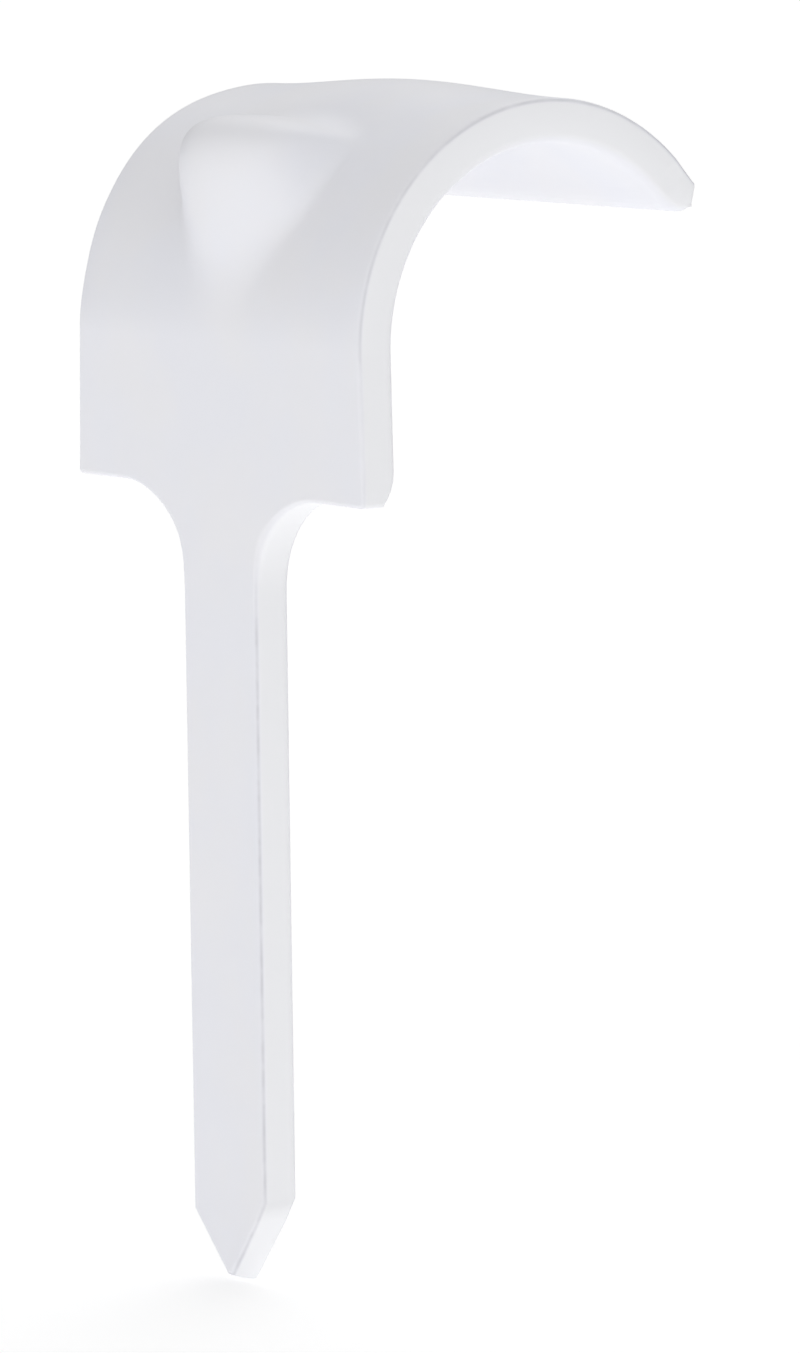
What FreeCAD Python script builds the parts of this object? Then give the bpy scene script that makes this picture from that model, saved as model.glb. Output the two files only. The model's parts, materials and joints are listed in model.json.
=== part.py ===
"""Drive-in conduit clip: one stamped steel strap, white coated, in millimetres.

A wide strap curls over the conduit as a hook, and runs down on the other side into a
narrow flat shank with a point that is driven into the wall. A boss is pressed outwards
at the bend to stiffen it, so the inside of the bend has a matching dimple.

Frame: the origin is on the conduit's axis. X runs along the conduit, +Z is up and the
shank points down. The flat plate is on the -Y side and the hook's lip on the +Y side.
"""
import FreeCAD, Part
import math
import os

import Sketcher

NODE = "conduit_clip"

# Driving sizes: alias, value in millimetres or degrees, and what it measures
SIZES = (
    ("conduit_radius", 9.0, "inside radius of the hook, for a conduit 17.9 across"),
    ("sheet_thickness", 2.05, "coated sheet"),
    ("strap_width", 21.8, "hook and plate, along the conduit"),
    ("hook_past_crest", 53.0, "degrees that the hook runs on beyond its highest point"),
    ("lip_roll", 1.2, "rounding of the lip's inner edge"),
    ("edge_roll", 0.45, "rounding of the other cut edges, on the inner face"),
    ("shoulder_drop", 6.95, "from the conduit's axis down to the plate's shoulders"),
    ("shoulder_radius", 4.6, "hollow corner between a shoulder and the shank"),
    ("shank_width", 5.65, "flat shank"),
    ("shank_length", 37.0, "from the shoulders to the tip"),
    ("point_length", 3.9, "tapered end of the shank"),
    ("tip_width", 0.9, "blunt end of the point"),
    ("boss_rise", 3.95, "height of the boss's ridge over the bend"),
    ("boss_width", 9.5, "whole boss, along the conduit"),
    ("boss_ridge_width", 6.0, "broad part of the boss's ridge"),
    ("boss_ridge_fall", 1.8, "how much lower the ridge is at the ends of its broad part"),
    ("boss_ridge_angle", 45.0, "degrees up the bend to the boss's ridge"),
    ("boss_below_ridge", 34.0, "degrees from the ridge down to the boss's lower point"),
    ("boss_above_ridge", 35.0, "degrees from the ridge up to where the boss's top ends"),
    ("boss_end_angle", 8.0, "degrees to each side of the ridge at the boss's two ends"),
    ("boss_nose", 2.8, "rounding of the boss's ridge"),
    ("boss_root", 0.4, "how deep the boss's foot lies in the bend"),
    ("boss_end_sink", 0.05, "how deep the boss's two ends lie in the bend"),
    ("punch_nose", 1.0, "rounding of the dimple's valley"),
    ("end_nose", 0.3, "rounding at the ends of the boss and of the dimple"),
    ("press_thinning", 0.25, "how much less deep the dimple is than the boss is high"),
    ("dimple_inset", 0.7, "how much further in the dimple starts than the boss"),
)

# Expressions that several features share
HOOK_OUTSIDE = "sizes.conduit_radius + sizes.sheet_thickness"
HOOK_TURN = "90 + sizes.hook_past_crest"
TIP_DROP = "sizes.shoulder_drop + sizes.shank_length"

# A sketch's own origin and horizontal axis, and the two ends and the centre of an edge
ORIGIN = (-1, 1)
X_AXIS = -1
START, END, CENTRE = range(1, 4)

# How close an edge's middle lies to where it is looked for
NEAR = 1e-4


def make_sheet(doc):
    """Write the driving sizes into a spreadsheet, one row each."""
    sheet = doc.addObject("Spreadsheet::Sheet", "sizes")
    for row, (alias, value, meaning) in enumerate(SIZES, start=1):
        sheet.set(f"A{row}", alias)
        sheet.set(f"B{row}", str(value))
        sheet.set(f"C{row}", meaning)
        sheet.setAlias(f"B{row}", alias)
    doc.recompute()
    return sheet


def new_sketch(body, name, role):
    """An empty sketch on one of the body's own origin planes."""
    plane = next(plane for plane in body.Origin.OriginFeatures if plane.Role == role)
    sketch = body.newObject("Sketcher::SketchObject", name)
    sketch.AttachmentSupport = (plane, [""])
    sketch.MapMode = "FlatFace"
    return sketch


def value_of(sketch, expression):
    """The number that an expression over the spreadsheet gives."""
    return float(sketch.evalExpression(expression))


def add_line(sketch, start, end):
    """Add a straight edge between two points and return its index."""
    edge = Part.LineSegment(FreeCAD.Vector(*start, 0), FreeCAD.Vector(*end, 0))
    return sketch.addGeometry(edge, False)


def add_arc(sketch, centre, radius, first, last):
    """Add an arc that runs anticlockwise between two angles in radians, and return its index."""
    circle = Part.Circle(FreeCAD.Vector(*centre, 0), FreeCAD.Vector(0, 0, 1), radius)
    return sketch.addGeometry(Part.ArcOfCircle(circle, first, last), False)


def constrain(sketch, kind, *where):
    """Add a constraint without a number."""
    sketch.addConstraint(Sketcher.Constraint(kind, *where))


def dimension(sketch, name, kind, where, expression):
    """Add a named dimension and bind it to the spreadsheet."""
    constraint = Sketcher.Constraint(kind, *where, value_of(sketch, expression))
    sketch.renameConstraint(sketch.addConstraint(constraint), name)
    sketch.setExpression(f"Constraints.{name}", expression)


def outline_side(sketch, sheet, name, side):
    """One half of the plate and shank outline, to the right for side 1 and to the left for -1."""
    strap = side * sheet.strap_width / 2
    shank = side * sheet.shank_width / 2
    radius = sheet.shoulder_radius
    shoulder = -sheet.shoulder_drop
    tip = shoulder - sheet.shank_length
    hollow = (shank + side * radius, shoulder - radius)
    turn = (math.pi / 2, math.pi) if side > 0 else (0, math.pi / 2)

    edge = add_line(sketch, (strap, 0), (strap, shoulder))
    ledge = add_line(sketch, (strap, shoulder), (hollow[0], shoulder))
    corner = add_arc(sketch, hollow, radius, *turn)
    flank = add_line(sketch, (shank, hollow[1]), (shank, tip + sheet.point_length))
    taper = add_line(sketch, (shank, tip + sheet.point_length), (side * sheet.tip_width / 2, tip))

    upper, lower = (START, END) if side > 0 else (END, START)
    constrain(sketch, "Coincident", edge, END, ledge, START)
    constrain(sketch, "Tangent", ledge, END, corner, upper)
    constrain(sketch, "Tangent", corner, lower, flank, START)
    constrain(sketch, "Coincident", flank, END, taper, START)
    constrain(sketch, "PointOnObject", edge, START, X_AXIS)
    constrain(sketch, "Vertical", edge)
    constrain(sketch, "Horizontal", ledge)
    constrain(sketch, "Vertical", flank)

    across = (
        ("strap", (edge, START), "sizes.strap_width / 2"),
        ("shank", (flank, START), "sizes.shank_width / 2"),
        ("tip", (taper, END), "sizes.tip_width / 2"),
    )
    for what, point, expression in across:
        span = ORIGIN + point if side > 0 else point + ORIGIN
        dimension(sketch, f"{what}_{name}", "DistanceX", span, expression)
    down = (
        ("shoulder", (edge, END), "sizes.shoulder_drop"),
        ("point", (flank, END), f"{TIP_DROP} - sizes.point_length"),
        ("end", (taper, END), TIP_DROP),
    )
    for what, point, expression in down:
        dimension(sketch, f"{what}_{name}", "DistanceY", point + ORIGIN, expression)
    dimension(sketch, f"hollow_{name}", "Radius", (corner,), "sizes.shoulder_radius")
    return edge, taper


def add_plate(body, sheet):
    """The flat plate below the bend with its shank and point, as one pad of the sheet's thickness."""
    sketch = new_sketch(body, "plate_outline", "XZ_Plane")
    sketch.setExpression("AttachmentOffset.Base.z", "sizes.conduit_radius")
    right_edge, right_taper = outline_side(sketch, sheet, "right", 1)
    left_edge, left_taper = outline_side(sketch, sheet, "left", -1)
    half_strap = sheet.strap_width / 2
    half_tip = sheet.tip_width / 2
    tip = -value_of(sketch, TIP_DROP)
    top = add_line(sketch, (-half_strap, 0), (half_strap, 0))
    blunt = add_line(sketch, (half_tip, tip), (-half_tip, tip))
    constrain(sketch, "Coincident", top, START, left_edge, START)
    constrain(sketch, "Coincident", top, END, right_edge, START)
    constrain(sketch, "Coincident", blunt, START, right_taper, END)
    constrain(sketch, "Coincident", blunt, END, left_taper, END)
    plate = body.newObject("PartDesign::Pad", "plate")
    plate.Profile = sketch
    plate.setExpression("Length", "sizes.sheet_thickness")
    return plate


def add_hook(body, sheet):
    """The hook: the strap's section at the top of the plate, turned about the conduit's axis."""
    sketch = new_sketch(body, "strap_section", "XY_Plane")
    half_strap = sheet.strap_width / 2
    inside = -sheet.conduit_radius
    outside = -value_of(sketch, HOOK_OUTSIDE)
    corners = (
        (-half_strap, outside),
        (half_strap, outside),
        (half_strap, inside),
        (-half_strap, inside),
    )
    edges = [add_line(sketch, start, end) for start, end in zip(corners, corners[1:] + corners[:1])]
    for edge, following in zip(edges, edges[1:] + edges[:1]):
        constrain(sketch, "Coincident", edge, END, following, START)
    for edge, kind in zip(edges, ("Horizontal", "Vertical", "Horizontal", "Vertical")):
        constrain(sketch, kind, edge)
    dimension(sketch, "right", "DistanceX", ORIGIN + (edges[0], END), "sizes.strap_width / 2")
    dimension(sketch, "left", "DistanceX", (edges[0], START) + ORIGIN, "sizes.strap_width / 2")
    dimension(sketch, "outside", "DistanceY", (edges[0], START) + ORIGIN, HOOK_OUTSIDE)
    dimension(sketch, "inside", "DistanceY", (edges[2], START) + ORIGIN, "sizes.conduit_radius")
    hook = body.newObject("PartDesign::Revolution", "hook")
    hook.Profile = sketch
    hook.ReferenceAxis = (sketch, ["H_Axis"])
    hook.Reversed = True
    hook.setExpression("Angle", HOOK_TURN)
    return hook


def on_bend(radius, angle):
    """A point in the plane of the bend, at an angle in degrees up from the plate's side."""
    turn = math.radians(angle)
    return -radius * math.cos(turn), radius * math.sin(turn)


def tangent_angle(point, centre, radius, side):
    """Direction, from a circle's centre, of the point where a tangent from outside touches it."""
    across = point[0] - centre[0]
    up = point[1] - centre[1]
    reach = math.acos(radius / math.hypot(across, up))
    return math.atan2(up, across) + side * reach


def press_section(body, name, offset, surface, foot, rise, below, above, nose):
    """One section of the boss or of its dimple, across the bend, at an offset along the conduit.

    Two straight facets rise from feet on an arc about the conduit's axis, and a rounded nose
    joins them at the ridge. All arguments from offset on are expressions.
    """
    sketch = new_sketch(body, name, "YZ_Plane")
    sketch.setExpression("AttachmentOffset.Base.z", offset)
    ridge_turn = "sizes.boss_ridge_angle"
    low = f"({ridge_turn} - {below})"
    high = f"({ridge_turn} + {above})"
    nose_at = f"({surface} + {rise} - {nose})"
    base = value_of(sketch, foot)
    low_angle = value_of(sketch, low)
    high_angle = value_of(sketch, high)
    radius = value_of(sketch, nose)
    low_foot = on_bend(base, low_angle)
    high_foot = on_bend(base, high_angle)
    centre = on_bend(value_of(sketch, nose_at), value_of(sketch, ridge_turn))
    front_touch = tangent_angle(low_foot, centre, radius, -1)
    top_touch = tangent_angle(high_foot, centre, radius, 1)
    bed_turn = (math.pi - math.radians(high_angle), math.pi - math.radians(low_angle))

    def touch(turn):
        return centre[0] + radius * math.cos(turn), centre[1] + radius * math.sin(turn)

    front = add_line(sketch, low_foot, touch(front_touch))
    ridge = add_arc(sketch, centre, radius, top_touch, front_touch)
    top = add_line(sketch, touch(top_touch), high_foot)
    bed = add_arc(sketch, (0, 0), base, *bed_turn)
    constrain(sketch, "Tangent", front, END, ridge, END)
    constrain(sketch, "Tangent", ridge, START, top, START)
    constrain(sketch, "Coincident", top, END, bed, START)
    constrain(sketch, "Coincident", bed, END, front, START)
    constrain(sketch, "Coincident", bed, CENTRE, *ORIGIN)
    dimension(sketch, "bed_radius", "Radius", (bed,), foot)
    dimension(sketch, "low_foot", "DistanceY", ORIGIN + (bed, END), f"({foot}) * sin({low})")
    dimension(sketch, "high_foot", "DistanceX", (bed, START) + ORIGIN, f"({foot}) * cos({high})")
    across = f"{nose_at} * cos({ridge_turn})"
    up = f"{nose_at} * sin({ridge_turn})"
    dimension(sketch, "nose_radius", "Radius", (ridge,), nose)
    dimension(sketch, "nose_across", "DistanceX", (ridge, CENTRE) + ORIGIN, across)
    dimension(sketch, "nose_up", "DistanceY", ORIGIN + (ridge, CENTRE), up)
    return sketch


def press_sections(body, name, surface, rise, width, ridge_width, inset, nose):
    """Five sections along the conduit: both ends, both ends of the broad ridge, and the middle.

    Seen along the press, the form is round below and above, and it is broadest at the ridge.
    """
    foot = f"{surface} - sizes.boss_root"
    below = f"(sizes.boss_below_ridge - {inset})"
    above = f"(sizes.boss_above_ridge - {inset})"
    share = f"(({ridge_width}) / ({width}))"
    at_middle = (rise, below, above, nose)
    at_ridge_end = (
        f"({rise} - sizes.boss_ridge_fall)",
        f"({below} * (1 - {share} * {share}))",
        f"({above} * (1 - {share} * {share}))",
        nose,
    )
    at_end = ("(-sizes.boss_end_sink)", "sizes.boss_end_angle", "sizes.boss_end_angle", "sizes.end_nose")
    stations = (
        ("left_end", f"-({width}) / 2", at_end),
        ("left", f"-({ridge_width}) / 2", at_ridge_end),
        ("middle", "0", at_middle),
        ("right", f"({ridge_width}) / 2", at_ridge_end),
        ("right_end", f"({width}) / 2", at_end),
    )
    return [
        press_section(body, f"{name}_{station}", offset, surface, foot, *form)
        for station, offset, form in stations
    ]


def add_loft(body, kind, name, sections):
    """Loft a smooth solid through sections, added to the body or cut from it."""
    loft = body.newObject(kind, name)
    loft.Profile = sections[0]
    loft.Sections = sections[1:]
    loft.Ruled = False
    return loft


def add_boss(body):
    """The boss on the outside of the bend."""
    sections = press_sections(
        body,
        "boss",
        surface=f"({HOOK_OUTSIDE})",
        rise="sizes.boss_rise",
        width="sizes.boss_width",
        ridge_width="sizes.boss_ridge_width",
        inset="0",
        nose="sizes.boss_nose",
    )
    return add_loft(body, "PartDesign::AdditiveLoft", "boss", sections)


def add_dimple(body):
    """The dimple that the punch leaves inside the bend, behind the boss."""
    sections = press_sections(
        body,
        "dimple",
        surface="sizes.conduit_radius",
        rise="(sizes.boss_rise - sizes.press_thinning)",
        width="sizes.boss_width - 2 * sizes.dimple_inset",
        ridge_width="sizes.boss_ridge_width - 2 * sizes.dimple_inset",
        inset="(sizes.dimple_inset / sizes.conduit_radius * 180 / pi)",
        nose="sizes.punch_nose",
    )
    return add_loft(body, "PartDesign::SubtractiveLoft", "dimple", sections)


def round_edges(body, base, name, radius, chosen):
    """Round the edges of a feature whose middle points pass a test."""
    picked = []
    for number, edge in enumerate(base.Shape.Edges, start=1):
        middle = edge.valueAt((edge.FirstParameter + edge.LastParameter) / 2)
        if chosen(middle):
            picked.append(f"Edge{number}")
    fillet = body.newObject("PartDesign::Fillet", name)
    fillet.Base = (base, picked)
    fillet.setExpression("Radius", radius)
    return fillet


def roll_lip(body, sheet, hook):
    """Round the inner edge at the hook's end."""
    across, up = on_bend(sheet.conduit_radius, value_of(hook, HOOK_TURN))

    def at_lip(middle):
        return math.hypot(middle.y - across, middle.z - up) < NEAR

    return round_edges(body, hook, "rolled_lip", "sizes.lip_roll", at_lip)


def roll_rim(body, sheet, lip):
    """Round the cut edges all round the inner face, as the blanking die leaves them."""
    inside = sheet.conduit_radius
    half_strap = sheet.strap_width / 2

    def at_rim(middle):
        on_plate = middle.z < -NEAR and abs(middle.y + inside) < NEAR
        on_hook = middle.z > NEAR and abs(math.hypot(middle.y, middle.z) - inside) < NEAR
        return on_plate or (on_hook and abs(abs(middle.x) - half_strap) < NEAR)

    return round_edges(body, lip, "rolled_rim", "sizes.edge_roll", at_rim)


def compute(doc):
    """Recompute, and stop if any object of the document failed."""
    doc.recompute()
    for item in doc.Objects:
        if "Invalid" in item.State or "Error" in item.State:
            raise RuntimeError(f"{item.Name} failed: {item.State}")


def main():
    doc = FreeCAD.newDocument(NODE)
    sheet = make_sheet(doc)
    body = doc.addObject("PartDesign::Body", NODE)
    body.Label = NODE
    add_plate(body, sheet)
    hook = add_hook(body, sheet)
    compute(doc)
    lip = roll_lip(body, sheet, hook)
    compute(doc)
    rim = roll_rim(body, sheet, lip)
    boss = add_boss(body)
    dimple = add_dimple(body)
    compute(doc)

    volumes = [feature.Shape.Volume for feature in (hook, lip, rim)]
    if volumes != sorted(volumes, reverse=True):
        raise RuntimeError("an edge rounding removed nothing")
    if not rim.Shape.Volume < dimple.Shape.Volume < boss.Shape.Volume:
        raise RuntimeError("the boss added nothing, or its dimple cut nothing")
    shape = body.Shape
    if shape.isNull() or not shape.isValid() or len(shape.Solids) != 1:
        raise RuntimeError("the clip is not one valid solid")
    os.makedirs("parts", exist_ok=True)
    shape.exportStep(f"parts/{body.Label}.step")
    print(f"{body.Label}: {shape.Volume:.1f} cubic millimetres, {len(shape.Faces)} faces")


main()
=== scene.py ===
import json
import math

import bmesh
import bpy
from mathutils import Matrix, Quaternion, Vector


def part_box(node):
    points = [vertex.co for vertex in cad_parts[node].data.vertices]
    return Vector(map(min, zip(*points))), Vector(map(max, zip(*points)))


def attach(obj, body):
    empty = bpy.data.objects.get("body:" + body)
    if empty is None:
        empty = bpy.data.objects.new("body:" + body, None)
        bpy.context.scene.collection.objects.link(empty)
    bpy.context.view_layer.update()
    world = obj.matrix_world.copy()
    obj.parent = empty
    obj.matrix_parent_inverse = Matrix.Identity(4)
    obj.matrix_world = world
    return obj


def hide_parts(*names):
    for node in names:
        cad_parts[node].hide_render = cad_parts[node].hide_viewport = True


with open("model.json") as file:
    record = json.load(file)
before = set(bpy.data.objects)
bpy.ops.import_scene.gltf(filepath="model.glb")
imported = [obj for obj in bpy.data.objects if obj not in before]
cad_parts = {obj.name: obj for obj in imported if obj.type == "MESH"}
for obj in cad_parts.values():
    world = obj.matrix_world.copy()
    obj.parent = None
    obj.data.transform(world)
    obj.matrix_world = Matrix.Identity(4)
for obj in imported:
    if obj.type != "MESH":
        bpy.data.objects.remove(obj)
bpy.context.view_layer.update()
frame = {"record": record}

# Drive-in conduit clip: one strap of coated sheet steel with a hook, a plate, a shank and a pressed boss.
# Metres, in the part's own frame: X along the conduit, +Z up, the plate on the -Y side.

MM = 0.001
NODE = "conduit_clip"

low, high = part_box(NODE)
seat = next(mount for mount in frame["record"]["mounts"] if mount["name"] == "conduit_seat")

# Sheet, and the hook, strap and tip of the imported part
SHEET = 2.05 * MM
HOOK_INSIDE = seat["dims"]["r_mm"] * MM
HOOK_OUTSIDE = HOOK_INSIDE + SHEET
HALF_STRAP = high.x
TIP_Z = low.z

# Blank: the plate, the hollows under its shoulders, the shank and the point
SHOULDER_Z = -6.95 * MM
SHOULDER_FLARE = 0.2 * MM
HOLLOW_RADIUS = 4.6 * MM
HOLLOW_STEPS = 15
HALF_SHANK = 2.825 * MM
HOLLOW_X = HALF_SHANK + HOLLOW_RADIUS
POINT_Z = TIP_Z + 3.9 * MM
HALF_TIP = 0.4 * MM
LEFT_TAPER_DROP = 1.0 * MM
TIP_DROP = 0.3 * MM
TIP_SLANT = 0.4 * MM
TIP_THINNING = 0.5 * MM
TIP_FRONT_SHARE = 0.5

# Bend: steps round the conduit, with a long last one for the lip, and columns across the strap
HOOK_TURN = math.radians(143)
LIP_TURN = math.radians(9)
BEND_STEPS = 134
BOSS_COLUMNS = 55
SIDE_COLUMNS = 2

# Edges: the blanking die rolls the inner side over and leaves the outer side nearly square
CORNER_ANGLE = math.radians(60)
INNER_ROLL = 0.45 * MM
INNER_ROLL_SEGMENTS = 5
OUTER_ROLL = 0.22 * MM
OUTER_ROLL_SEGMENTS = 4
HOLLOW_ROLL = 0.6 * MM
CORNER_ROLL = 0.7 * MM
CORNER_ROLL_HEIGHT = 1.5 * MM
CORNER_ROLL_CUTS = 4
LIP_ROLL = 1.05 * MM
LIP_ROLL_REACH = 1.35 * MM
LIP_ROLL_CUTS = 6
LIP_SKEW = 0.6 * MM
LIP_LENGTH = 2 * LIP_ROLL_REACH
LIP_INNERMOST = 0.8 * HOOK_INSIDE

# Boss: the front's distance is given at the conduit's height, and the top's above the conduit
BOSS_FRONT = 10.36 * MM
BOSS_FRONT_LEAN = 0.18
BOSS_FRONT_FALL = 2.5 * MM
BOSS_TOP = 9.2 * MM
BOSS_TOP_LEAN = 0.13
BOSS_TOP_FALL = 1.0 * MM
BOSS_CORNER_POWER = 7
BOSS_HALF = 4.95 * MM
BOSS_FLANK_SLOPE = 2.2
BOSS_FLANK_BLEND = 1.6 * MM
BOSS_FOOT_BLEND = 0.8 * MM
BOSS_LEAST_FACING = 0.05

# Crown: the press lifts the strap's middle a little over the top of the bend
CROWN_RISE = 0.52 * MM
CROWN_HALF = 10.9 * MM
CROWN_MIDDLE = math.radians(90)
CROWN_SPREAD = math.radians(42)

# Wave: forming leaves the bend's left half a little hollow above the plate and full further up
WAVE_DEPTH = 0.17 * MM
WAVE_HOLLOW = math.radians(14)
WAVE_HOLLOW_SPREAD = math.radians(15)
WAVE_HOLLOW_SHARE = 0.5
WAVE_FULL = math.radians(54)
WAVE_FULL_SPREAD = math.radians(30)

# Camera, as the photograph was taken
CAMERA_AZIMUTH = math.radians(52.358)
CAMERA_ELEVATION = math.radians(7.693)
CAMERA_ROLL = math.radians(-0.719)
CAMERA_LENS = 184.49
CAMERA_PLACE = Vector((256.875, -198.640, 27.273)) * MM
CAMERA_NEAREST = 10 * MM

# Coating: colours, finish, and noises as features per metre and detail
COAT_COOL = (0.828, 0.834, 0.882, 1)
COAT_WARM = (0.840, 0.840, 0.872, 1)
# The cut side's colour: partly its own coat, partly painted light that makes the cut sides and hollows
# brighter
SHEARED_COAT_AND_PAINTED_LIGHT = (0.868, 0.872, 0.894, 1)
# A dark colour, for the specks and for the painted shade along the outer edges
SPECK_AND_EDGE_SHADE = (0.64, 0.64, 0.68, 1)
COAT_ROUGHNESS = (0.40, 0.50)
COAT_SPECULAR = 0.35
MOTTLE_NOISE = (180, 3)
MOTTLE_WINDOW = (0.35, 0.65)
GLOSS_NOISE = (300, 3)
GLOSS_WINDOW = (0.3, 0.7)
SKIN_NOISE = (1800, 2)
SKIN_DEPTH = 0.006 * MM
DENT_NOISE = (260, 1)
DENT_DEPTH = 0.03 * MM

# Cut side: where its colour, partly painted light, starts and ends, by depth in the sheet
SHEARED_START = (0.05, 0.15)
SHEARED_END = (0.8, 0.95)

# Edge line, a painted shade along the outer edges: where it starts and ends, by depth in the sheet, and
# how it weakens round the hollows
EDGE_LINE_START = (0.0, 0.05)
EDGE_LINE_END = (0.05, 0.11)
EDGE_LINE_NOISE = (900, 2)
EDGE_LINE_WINDOW = (0.3, 0.65)
EDGE_LINE_FAINTEST = 0.5
EDGE_LINE_WEAK_Z = -6.5 * MM
EDGE_LINE_WEAK_HALF = 3.5 * MM
EDGE_LINE_FULL_HALF = 8 * MM
EDGE_LINE_WEAKEST = 0.2
EDGE_LINE_ON_BEND = 0.7

# Specks: cells per metre, their size in a cell, and the clusters that have them
SPECK_SCALE = 420
SPECK_SIZE = (0.04, 0.08)
SPECK_CLUSTER_NOISE = (SPECK_SCALE / 3, 0)
SPECK_CLUSTER_WINDOW = (0.58, 0.62)
SPECK_SHARE = 0.35
SPECK_DEPTH = (0.0, 0.05)

# Light: azimuth and elevation in degrees, narrowness and strength of each soft box, and a bright table
SOFT_BOXES = (
    (-60, 8, 6, 0.35),
    (-15, 4, 8, 0.53),
    (30, 4, 8, 1.20),
    (75, 25, 8, 0.46),
    (-80, 40, 8, 0.36),
    (40, 45, 8, 0.89),
    (95, 50, 8, 0.38),
    (140, 50, 6, 0.69),
    (-140, 45, 6, 1.77),
)
WHITE = (1, 1, 1, 1)
TABLE_SIZE = 4
TABLE_COLOUR = (0.9, 0.9, 0.9, 1)
TABLE_GLOW = 0.42
TABLE_GLOW_TO_CAMERA = 0.30

# Working values: the attribute that holds the depth in the sheet, its limits, and the shading
NEAR = 1e-6
DEPTH = "sheet_depth"
FACE_DEPTH = 0.02
MID_DEPTH = 0.5
SMOOTH_ANGLE = math.radians(40)
FACE_WEIGHT = 100


def clamp(share):
    """Keep a share between 0 and 1."""
    return min(max(share, 0), 1)


def bump(place, centre, spread):
    """A rounded step from 0 up to 1 at the centre and down again."""
    away = clamp(abs(place - centre) / spread)
    return math.cos(away * math.pi / 2) ** 2


def soft_larger(first, second, blend):
    """The larger of two lengths, rounded off where they differ by less than the blend."""
    near = clamp(1 - abs(first - second) / blend)
    return max(first, second) + near ** 2 * blend / 4


def direction(azimuth, elevation):
    """The unit vector towards an azimuth, from -Y over +X, and an elevation."""
    level = math.cos(elevation)
    return Vector((math.sin(azimuth) * level, -math.cos(azimuth) * level, math.sin(elevation)))


def turn_of(place):
    """How far round the bend a point lies, from the plate's upper end."""
    return math.atan2(place.z, -place.y)


def move_out(place, distance):
    """Move a point away from the conduit's axis."""
    growth = 1 + distance / math.hypot(place.y, place.z)
    place.y *= growth
    place.z *= growth


def depth_in_sheet(point):
    """How far a point lies below the outer face, from 0 to 1 at the inner face."""
    out = math.hypot(point.y, point.z) if point.z > 0 else -point.y
    return (HOOK_OUTSIDE - out) / SHEET


def middle(part):
    """The middle of an edge or face."""
    total = Vector()
    for corner in part.verts:
        total += corner.co
    return total / len(part.verts)


def pick(piece, kind, test):
    """In edit mode, select only the vertices, edges or faces that pass a test."""
    bpy.ops.mesh.select_mode(type=kind)
    bpy.ops.mesh.select_all(action="DESELECT")
    mesh = bmesh.from_edit_mesh(piece.data)
    parts = {"VERT": mesh.verts, "EDGE": mesh.edges, "FACE": mesh.faces}[kind]
    for part in parts:
        if test(part):
            part.select_set(True)
    bmesh.update_edit_mesh(piece.data)


def cut(piece, place, normal, test=lambda face: True):
    """In edit mode, cut the faces that pass a test along a plane."""
    pick(piece, "FACE", test)
    bpy.ops.mesh.bisect(plane_co=place, plane_no=normal)


def narrow_to(half_width, half_before, height):
    """Scale what is selected across the strap, about the clip's middle plane."""
    bpy.ops.transform.resize(
        value=(half_width / half_before, 1, 1), center_override=(0, -HOOK_OUTSIDE, height))


def apply_modifier(piece, kind, **settings):
    """Add a modifier, set it up and apply it."""
    bpy.ops.object.mode_set(mode="OBJECT")
    modifier = piece.modifiers.new(kind.lower(), kind)
    for name, value in settings.items():
        setattr(modifier, name, value)
    bpy.ops.object.modifier_apply(modifier=modifier.name)


def plate_blank():
    """The plate's flat outer face, cut where the hollows start, with slightly flared shoulders."""
    bpy.ops.object.select_all(action="DESELECT")
    bpy.ops.mesh.primitive_plane_add(
        size=1, location=(0, -HOOK_OUTSIDE, SHOULDER_Z / 2), rotation=(math.pi / 2, 0, 0))
    piece = bpy.context.object
    piece.name = "coated_clip"
    piece.scale = (2 * HALF_STRAP, -SHOULDER_Z, 1)
    bpy.ops.object.transform_apply(location=True, rotation=True, scale=True)
    bpy.ops.object.mode_set(mode="EDIT")
    for side in (-1, 1):
        cut(piece, (side * HOLLOW_X, 0, 0), (1, 0, 0))
    pick(piece, "VERT", lambda corner: corner.co.z < SHOULDER_Z + NEAR
         and abs(corner.co.x) > HALF_STRAP - NEAR)
    narrow_to(HALF_STRAP + SHOULDER_FLARE, HALF_STRAP, SHOULDER_Z)
    return piece


def draw_shank(piece):
    """Extrude the plate's lower edge down the two hollows, the shank and the point."""
    pick(piece, "EDGE", lambda edge: abs(middle(edge).z - SHOULDER_Z) < NEAR
         and abs(middle(edge).x) < NEAR)
    stations = []
    for step in range(1, HOLLOW_STEPS + 1):
        turn = step / HOLLOW_STEPS * math.pi / 2
        stations.append((HOLLOW_X - HOLLOW_RADIUS * math.sin(turn),
                         SHOULDER_Z - HOLLOW_RADIUS * (1 - math.cos(turn))))
    stations += [(HALF_SHANK, POINT_Z), (HALF_TIP, TIP_Z)]
    half, height = HOLLOW_X, SHOULDER_Z
    for new_half, new_height in stations:
        bpy.ops.mesh.extrude_region_move(
            TRANSFORM_OT_translate={"value": (0, 0, new_height - height)})
        narrow_to(new_half, half, new_height)
        half, height = new_half, new_height
    taper_start = Vector((-HALF_SHANK, -HOOK_OUTSIDE, POINT_Z))
    pick(piece, "VERT", lambda corner: (corner.co - taper_start).length < NEAR)
    bpy.ops.transform.translate(value=(0, 0, -LEFT_TAPER_DROP))


def bend_hook(piece):
    """Spin the plate's upper edge round the conduit, with one long last step for the lip."""
    pick(piece, "EDGE", lambda edge: all(abs(corner.co.z) < NEAR for corner in edge.verts))
    for turn, steps in ((HOOK_TURN - LIP_TURN, BEND_STEPS), (LIP_TURN, 1)):
        bpy.ops.mesh.spin(steps=steps, angle=turn, center=(0, 0, 0), axis=(1, 0, 0))


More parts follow.
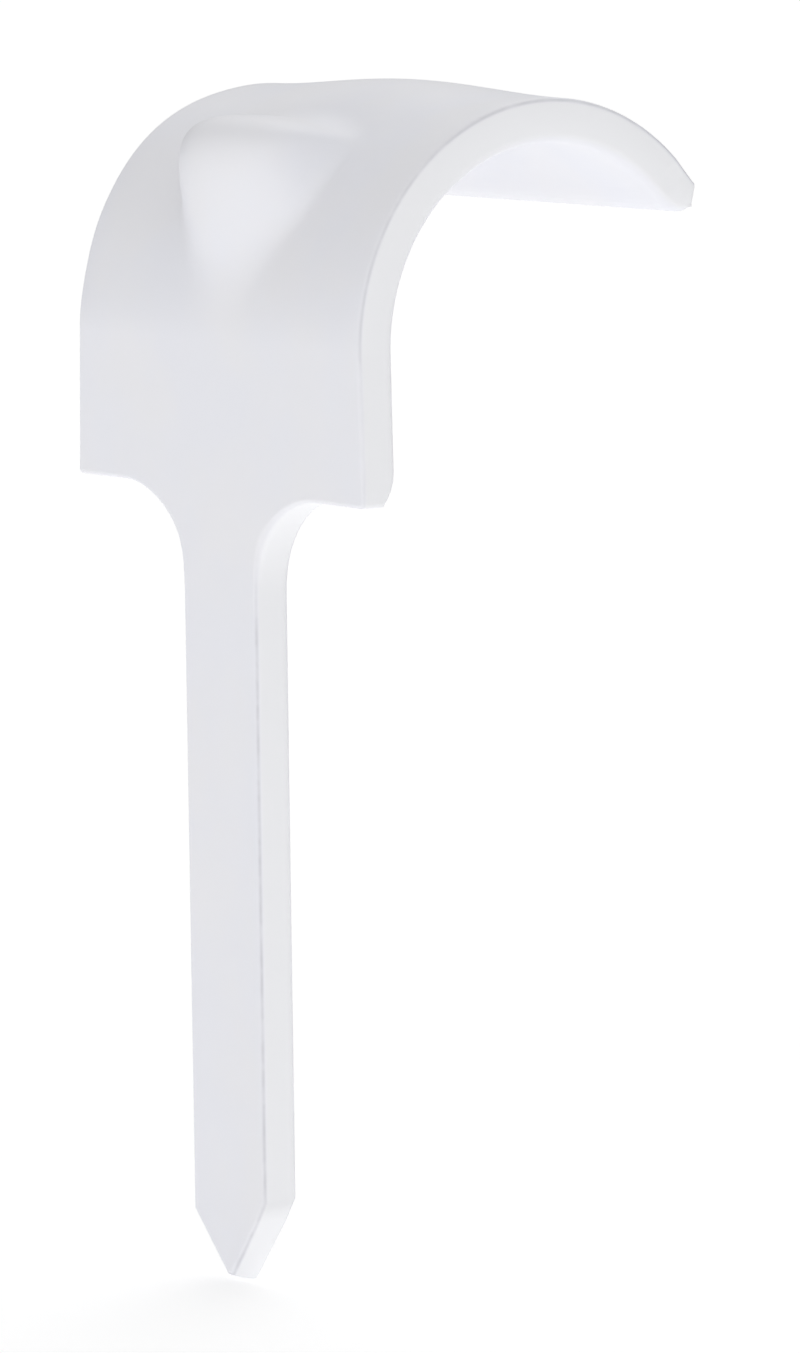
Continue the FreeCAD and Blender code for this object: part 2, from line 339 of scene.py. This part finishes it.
def cut_columns(piece):
    """Divide the bend's edges that run along the conduit, so that the boss can be pressed."""
    def along_bend(edge, inside):
        ends = [corner.co for corner in edge.verts]
        across = abs(ends[0].x - ends[1].x) > NEAR
        in_middle = abs(middle(edge).x) < HOLLOW_X
        return across and middle(edge).z > -NEAR and in_middle == inside

    for inside, columns in ((True, BOSS_COLUMNS), (False, SIDE_COLUMNS)):
        pick(piece, "EDGE", lambda edge: along_bend(edge, inside))
        bpy.ops.mesh.subdivide(number_cuts=columns)


def join_flat(piece):
    """Join the flat faces of the plate, the shank and the point into one that faces outwards."""
    pick(piece, "FACE", lambda face: middle(face).z < 0)
    bpy.ops.mesh.dissolve_faces()
    pick(piece, "FACE", lambda face: middle(face).z < 0)
    flat = next(face for face in bmesh.from_edit_mesh(piece.data).faces if face.select)
    if flat.normal.y > 0:
        bpy.ops.mesh.select_all(action="SELECT")
        bpy.ops.mesh.flip_normals()


def slant_tip(piece):
    """Draw the point out a little, thin its end, and cut it back on the outer face."""
    bpy.ops.object.mode_set(mode="EDIT")
    cut(piece, (0, 0, POINT_Z - LEFT_TAPER_DROP), (0, 0, 1))
    pick(piece, "VERT", lambda corner: corner.co.z < TIP_Z + NEAR
         and corner.co.y > -HOOK_INSIDE - NEAR)
    bpy.ops.transform.translate(value=(0, -TIP_THINNING, -TIP_DROP))
    pick(piece, "VERT", lambda corner: abs(corner.co.z - TIP_Z) < NEAR)
    bpy.ops.transform.translate(value=(0, 0, TIP_SLANT - TIP_DROP))
    narrow_to(TIP_FRONT_SHARE, 1, TIP_Z)


def finish_edges(piece):
    """Round the sharp edges, the inner ones more than the outer ones, except in the hollows."""
    def rim(edge, inner):
        sharp = len(edge.link_faces) == 2 and edge.calc_face_angle() > CORNER_ANGLE
        return sharp and (depth_in_sheet(middle(edge)) > MID_DEPTH) == inner

    pick(piece, "EDGE", lambda edge: rim(edge, True))
    bpy.ops.mesh.bevel(
        offset=INNER_ROLL, segments=INNER_ROLL_SEGMENTS, affect="EDGES", clamp_overlap=False)
    mesh = bmesh.from_edit_mesh(piece.data)
    weight = mesh.edges.layers.float.new("bevel_weight_edge")
    for edge in mesh.edges:
        if rim(edge, False):
            share = bump(middle(edge).z, SHOULDER_Z - HOLLOW_RADIUS / 2, HOLLOW_RADIUS / 2)
            edge[weight] = (OUTER_ROLL + (HOLLOW_ROLL - OUTER_ROLL) * share) / HOLLOW_ROLL
    bmesh.update_edit_mesh(piece.data)
    apply_modifier(piece, "BEVEL", width=HOLLOW_ROLL, segments=OUTER_ROLL_SEGMENTS,
                   limit_method="WEIGHT", use_clamp_overlap=False)


def note_depth(piece):
    """Store each vertex's depth in the sheet, for pressing and for the coating."""
    depths = piece.data.attributes.new(DEPTH, "FLOAT", "POINT")
    for vertex, depth in zip(piece.data.vertices, depths.data):
        depth.value = depth_in_sheet(vertex.co)


def roll_corners(piece):
    """Turn the inner face in towards the plate's lower corners, as the blanking die leaves it."""
    top = SHOULDER_Z + CORNER_ROLL_HEIGHT
    bpy.ops.object.mode_set(mode="EDIT")
    for step in range(1, CORNER_ROLL_CUTS + 1):
        height = SHOULDER_Z + CORNER_ROLL_HEIGHT * step / CORNER_ROLL_CUTS
        cut(piece, (0, 0, height), (0, 0, 1), lambda face: middle(face).z < 0)
    for side in (-1, 1):
        cut(piece, (side * HOLLOW_X, 0, 0), (1, 0, 0), lambda face: SHOULDER_Z < middle(face).z < top)
    bpy.ops.object.mode_set(mode="OBJECT")
    for vertex in piece.data.vertices:
        place = vertex.co
        across = clamp((abs(place.x) - HOLLOW_X) / (HALF_STRAP - HOLLOW_X))
        fall = clamp((top - place.z) / CORNER_ROLL_HEIGHT)
        place.y -= CORNER_ROLL * depth_in_sheet(place) * across * fall ** 2


def round_lip(piece):
    """Draw the lip's inner side out a little and round it off towards the end."""
    outward = Vector((0, -math.cos(HOOK_TURN), math.sin(HOOK_TURN)))
    onward = Vector((0, math.sin(HOOK_TURN), math.cos(HOOK_TURN)))

    def at_lip(place):
        return place.dot(outward) > LIP_INNERMOST and place.dot(onward) > -LIP_LENGTH

    bpy.ops.object.mode_set(mode="EDIT")
    for step in range(1, LIP_ROLL_CUTS + 1):
        back = LIP_ROLL_REACH * (1 - math.sin(step / (LIP_ROLL_CUTS + 1) * math.pi / 2))
        cut(piece, -back * onward, onward, lambda face: at_lip(middle(face)))
    bpy.ops.object.mode_set(mode="OBJECT")
    for vertex, depth in zip(piece.data.vertices, piece.data.attributes[DEPTH].data):
        if at_lip(vertex.co):
            share = clamp(1 + vertex.co.dot(onward) / LIP_ROLL_REACH)
            rise = LIP_ROLL * (1 - math.sqrt(1 - share ** 2))
            vertex.co += depth.value * (LIP_SKEW * share * onward + rise * outward)


def raise_crown(piece):
    """Lift the strap's middle over the top of the bend."""
    for vertex in piece.data.vertices:
        across = bump(vertex.co.x, 0, CROWN_HALF)
        along = bump(turn_of(vertex.co), CROWN_MIDDLE, CROWN_SPREAD)
        move_out(vertex.co, CROWN_RISE * across * along)


def boss_reach(across, turn, inset):
    """How far from the conduit's axis the boss reaches, inset for the inner face of the sheet.

    Its front leans out over the plate and is round across the strap, its top is nearly level and runs
    out into the bend, and flanks close it at both ends.
    """
    spread = (abs(across) / BOSS_HALF) ** 2
    up, out = math.sin(turn), math.cos(turn)
    front = max(BOSS_FRONT - inset - BOSS_FRONT_FALL * spread, NEAR)
    front /= max(out - BOSS_FRONT_LEAN * up, BOSS_LEAST_FACING)
    top = max(BOSS_TOP - inset - BOSS_TOP_FALL * spread, NEAR)
    top /= max(up - BOSS_TOP_LEAN * out, BOSS_LEAST_FACING)
    power = BOSS_CORNER_POWER
    ridge = (front ** -power + top ** -power) ** (-1 / power)
    flank = HOOK_OUTSIDE - inset + (BOSS_HALF - inset / 2 - abs(across)) * BOSS_FLANK_SLOPE
    return -soft_larger(-ridge, -flank, BOSS_FLANK_BLEND)


def press_boss(piece):
    """Press the boss out of the bend, on both faces of the sheet."""
    for vertex, depth in zip(piece.data.vertices, piece.data.attributes[DEPTH].data):
        place = vertex.co
        on_face = depth.value < FACE_DEPTH or depth.value > 1 - FACE_DEPTH
        if place.z < NEAR or place.y > 0 or abs(place.x) > HOLLOW_X or not on_face:
            continue
        reach = math.hypot(place.y, place.z)
        inset = SHEET if depth.value > MID_DEPTH else 0.0
        pressed = boss_reach(place.x, turn_of(place), inset)
        move_out(place, soft_larger(reach, pressed, BOSS_FOOT_BLEND) - reach)


def wave_bend(piece):
    """Move the bend's left half in and out a little."""
    for vertex in piece.data.vertices:
        place = vertex.co
        if place.z < NEAR:
            continue
        side = (HALF_STRAP - place.x) / (2 * HALF_STRAP)
        full = bump(turn_of(place), WAVE_FULL, WAVE_FULL_SPREAD)
        hollow = WAVE_HOLLOW_SHARE * bump(turn_of(place), WAVE_HOLLOW, WAVE_HOLLOW_SPREAD)
        move_out(place, WAVE_DEPTH * side ** 2 * (full - hollow))


def feed(tree, source, socket):
    """Lead another node's output into a socket, or set the socket to a constant."""
    if isinstance(source, bpy.types.NodeSocket):
        tree.links.new(source, socket)
    else:
        socket.default_value = source


def reckon(tree, operation, *terms):
    """Work out a value from terms that are other nodes' outputs or constants."""
    node = tree.nodes.new("ShaderNodeMath")
    node.operation = operation
    for term, socket in zip(terms, node.inputs):
        feed(tree, term, socket)
    return node.outputs[0]


def product(tree, total, *others):
    """The product of several values."""
    for other in others:
        total = reckon(tree, "MULTIPLY", total, other)
    return total


def noise(tree, place, scale, detail):
    """Soft noise over the piece, from 0 to 1, with features of one part in scale of a metre."""
    node = tree.nodes.new("ShaderNodeTexNoise")
    node.inputs["Scale"].default_value = scale
    node.inputs["Detail"].default_value = detail
    tree.links.new(place, node.inputs["Vector"])
    return node.outputs["Fac"]


def span(tree, value, window, first, last):
    """Lead a value smoothly from first to last while another goes through a window."""
    node = tree.nodes.new("ShaderNodeMapRange")
    node.interpolation_type = "SMOOTHSTEP"
    sockets = ("From Min", "From Max", "To Min", "To Max")
    for socket, number in zip(sockets, (*window, first, last)):
        node.inputs[socket].default_value = number
    tree.links.new(value, node.inputs["Value"])
    return node.outputs["Result"]


def tint(tree, share, first, second):
    """Mix two colours, of which the first may be another node's."""
    node = tree.nodes.new("ShaderNodeMix")
    node.data_type = "RGBA"
    tree.links.new(share, node.inputs["Factor"])
    feed(tree, first, node.inputs["A"])
    node.inputs["B"].default_value = second
    return node.outputs["Result"]


def relief(tree, height, depth, under=None):
    """A bump in the surface, over another one where that is given."""
    node = tree.nodes.new("ShaderNodeBump")
    node.inputs["Distance"].default_value = depth
    node.inputs["Strength"].default_value = 1.0
    tree.links.new(height, node.inputs["Height"])
    if under:
        tree.links.new(under, node.inputs["Normal"])
    return node.outputs["Normal"]


def cut_side(tree, depth):
    """Where the sheet's cut side shows, between its two faces."""
    return product(tree, span(tree, depth, SHEARED_START, 0, 1), span(tree, depth, SHEARED_END, 1, 0))


def painted_edge_shade(tree, place, height, depth):
    """Painted shade: a broken dark line along the outer edges, weak round the hollows and lighter on the
    bend.
    """
    starting = span(tree, depth, EDGE_LINE_START, 0, 1)
    ending = span(tree, depth, EDGE_LINE_END, 1, 0)
    broken = span(tree, noise(tree, place, *EDGE_LINE_NOISE), EDGE_LINE_WINDOW, EDGE_LINE_FAINTEST, 1)
    upwards = (EDGE_LINE_WEAK_Z + EDGE_LINE_WEAK_HALF, EDGE_LINE_WEAK_Z + EDGE_LINE_FULL_HALF)
    downwards = (EDGE_LINE_WEAK_Z - EDGE_LINE_FULL_HALF, EDGE_LINE_WEAK_Z - EDGE_LINE_WEAK_HALF)
    above = span(tree, height, upwards, EDGE_LINE_WEAKEST, EDGE_LINE_ON_BEND)
    below = span(tree, height, downwards, 1, EDGE_LINE_WEAKEST)
    return product(tree, starting, ending, broken, reckon(tree, "MAXIMUM", above, below))


def specks(tree, place, height, depth):
    """Clusters of small specks on the shank's outer face."""
    cells = tree.nodes.new("ShaderNodeTexVoronoi")
    cells.inputs["Scale"].default_value = SPECK_SCALE
    tree.links.new(place, cells.inputs["Vector"])
    speck = span(tree, cells.outputs["Distance"], SPECK_SIZE, 1, 0)
    cluster = span(tree, noise(tree, place, *SPECK_CLUSTER_NOISE), SPECK_CLUSTER_WINDOW, 0, SPECK_SHARE)
    on_shank = span(tree, height, (SHOULDER_Z - HOLLOW_RADIUS, SHOULDER_Z), 1, 0)
    on_face = span(tree, depth, SPECK_DEPTH, 1, 0)
    return product(tree, speck, cluster, on_shank, on_face)


def white_coat():
    """Satin white coating over the sheet: faintly mottled, with a painted dark line of shade along the
    outer edges, a cut side made paler partly as painted light, and specks.
    """
    material = bpy.data.materials.new("white_coat")
    material.use_nodes = True
    tree = material.node_tree
    shader = tree.nodes["Principled BSDF"]
    place = tree.nodes.new("ShaderNodeTexCoord").outputs["Object"]
    split = tree.nodes.new("ShaderNodeSeparateXYZ")
    tree.links.new(place, split.inputs[0])
    height = split.outputs["Z"]
    attribute = tree.nodes.new("ShaderNodeAttribute")
    attribute.attribute_name = DEPTH
    depth = attribute.outputs["Fac"]

    mottle = span(tree, noise(tree, place, *MOTTLE_NOISE), MOTTLE_WINDOW, 0, 1)
    colour = tint(tree, mottle, COAT_COOL, COAT_WARM)
    # The cut side is paler, partly its own coat and partly painted light
    colour = tint(tree, cut_side(tree, depth), colour, SHEARED_COAT_AND_PAINTED_LIGHT)
    # Painted shade: a broken dark line along the outer edges, in place of their dark reflection
    colour = tint(tree, painted_edge_shade(tree, place, height, depth), colour, SPECK_AND_EDGE_SHADE)
    colour = tint(tree, specks(tree, place, height, depth), colour, SPECK_AND_EDGE_SHADE)
    tree.links.new(colour, shader.inputs["Base Color"])

    gloss = span(tree, noise(tree, place, *GLOSS_NOISE), GLOSS_WINDOW, *COAT_ROUGHNESS)
    tree.links.new(gloss, shader.inputs["Roughness"])
    shader.inputs["Specular IOR Level"].default_value = COAT_SPECULAR
    skin = relief(tree, noise(tree, place, *SKIN_NOISE), SKIN_DEPTH)
    dents = relief(tree, noise(tree, place, *DENT_NOISE), DENT_DEPTH, under=skin)
    tree.links.new(dents, shader.inputs["Normal"])
    return material


def make_clip():
    """The whole clip: the blank is bent, given its thickness, rounded at its edges and pressed."""
    piece = plate_blank()
    draw_shank(piece)
    bend_hook(piece)
    cut_columns(piece)
    bpy.ops.mesh.select_all(action="SELECT")
    bpy.ops.mesh.remove_doubles(threshold=NEAR)
    bpy.ops.mesh.normals_make_consistent(inside=False)
    join_flat(piece)
    apply_modifier(piece, "SOLIDIFY", thickness=SHEET, offset=-1, use_even_offset=True)
    slant_tip(piece)
    finish_edges(piece)
    note_depth(piece)
    roll_corners(piece)
    round_lip(piece)
    raise_crown(piece)
    press_boss(piece)
    wave_bend(piece)
    bpy.ops.object.shade_smooth_by_angle(angle=SMOOTH_ANGLE)
    apply_modifier(piece, "WEIGHTED_NORMAL", weight=FACE_WEIGHT, keep_sharp=True)
    piece.data.materials.append(white_coat())
    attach(piece, "root")
    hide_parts(NODE)
    return piece


def table_paint():
    """Pale paint that glows, less to the camera than to the clip."""
    material = bpy.data.materials.new("table")
    material.use_nodes = True
    nodes, links = material.node_tree.nodes, material.node_tree.links
    nodes.clear()
    paint = nodes.new("ShaderNodeBsdfDiffuse")
    paint.inputs["Color"].default_value = TABLE_COLOUR
    rays = nodes.new("ShaderNodeLightPath")
    strength = nodes.new("ShaderNodeMapRange")
    strength.inputs["To Min"].default_value = TABLE_GLOW
    strength.inputs["To Max"].default_value = TABLE_GLOW_TO_CAMERA
    glow = nodes.new("ShaderNodeEmission")
    total = nodes.new("ShaderNodeAddShader")
    output = nodes.new("ShaderNodeOutputMaterial")
    links.new(rays.outputs["Is Camera Ray"], strength.inputs["Value"])
    links.new(strength.outputs["Result"], glow.inputs["Strength"])
    links.new(paint.outputs[0], total.inputs[0])
    links.new(glow.outputs[0], total.inputs[1])
    links.new(total.outputs[0], output.inputs["Surface"])
    return material


def make_floor(clip):
    """The table that the clip's point touches."""
    height = min(vertex.co.z for vertex in clip.data.vertices)
    bpy.ops.object.select_all(action="DESELECT")
    bpy.ops.mesh.primitive_plane_add(size=TABLE_SIZE, location=(0, 0, height))
    floor = bpy.context.object
    floor.name = "floor"
    floor.data.materials.append(table_paint())


def make_camera():
    """The camera, where the photograph was taken."""
    camera = bpy.data.objects.new("camera", bpy.data.cameras.new("camera"))
    bpy.context.scene.collection.objects.link(camera)
    back = direction(CAMERA_AZIMUTH, CAMERA_ELEVATION)
    camera.location = CAMERA_PLACE
    camera.rotation_mode = "QUATERNION"
    camera.rotation_quaternion = back.to_track_quat("Z", "Y") @ Quaternion((0, 0, 1), CAMERA_ROLL)
    camera.data.lens = CAMERA_LENS
    camera.data.clip_start = CAMERA_NEAREST
    bpy.context.scene.camera = camera


def soft_box(tree, ray, azimuth, elevation, narrowness):
    """A round patch of light that fades out from its middle."""
    dot = tree.nodes.new("ShaderNodeVectorMath")
    dot.operation = "DOT_PRODUCT"
    dot.inputs[1].default_value = direction(math.radians(azimuth), math.radians(elevation))
    tree.links.new(ray, dot.inputs[0])
    facing = reckon(tree, "MAXIMUM", dot.outputs["Value"], 0.0)
    return reckon(tree, "POWER", facing, narrowness)


def make_light():
    """Studio light: soft boxes all round in a dark room, and plain white for the camera."""
    world = bpy.data.worlds.new("studio")
    world.use_nodes = True
    bpy.context.scene.world = world
    tree = world.node_tree
    ray = tree.nodes.new("ShaderNodeTexCoord").outputs["Generated"]
    level = 0.0
    for azimuth, elevation, narrowness, strength in SOFT_BOXES:
        patch = soft_box(tree, ray, azimuth, elevation, narrowness)
        level = reckon(tree, "MULTIPLY_ADD", patch, strength, level)
    studio = tree.nodes["Background"]
    studio.inputs["Color"].default_value = WHITE
    tree.links.new(level, studio.inputs["Strength"])
    backdrop = tree.nodes.new("ShaderNodeBackground")
    backdrop.inputs["Color"].default_value = WHITE
    backdrop.inputs["Strength"].default_value = 1.0
    rays = tree.nodes.new("ShaderNodeLightPath")
    mix = tree.nodes.new("ShaderNodeMixShader")
    tree.links.new(rays.outputs["Is Camera Ray"], mix.inputs["Fac"])
    tree.links.new(studio.outputs[0], mix.inputs[1])
    tree.links.new(backdrop.outputs[0], mix.inputs[2])
    tree.links.new(mix.outputs[0], tree.nodes["World Output"].inputs["Surface"])


make_floor(make_clip())
make_camera()
make_light()
bpy.context.scene.view_settings.view_transform = "Standard"
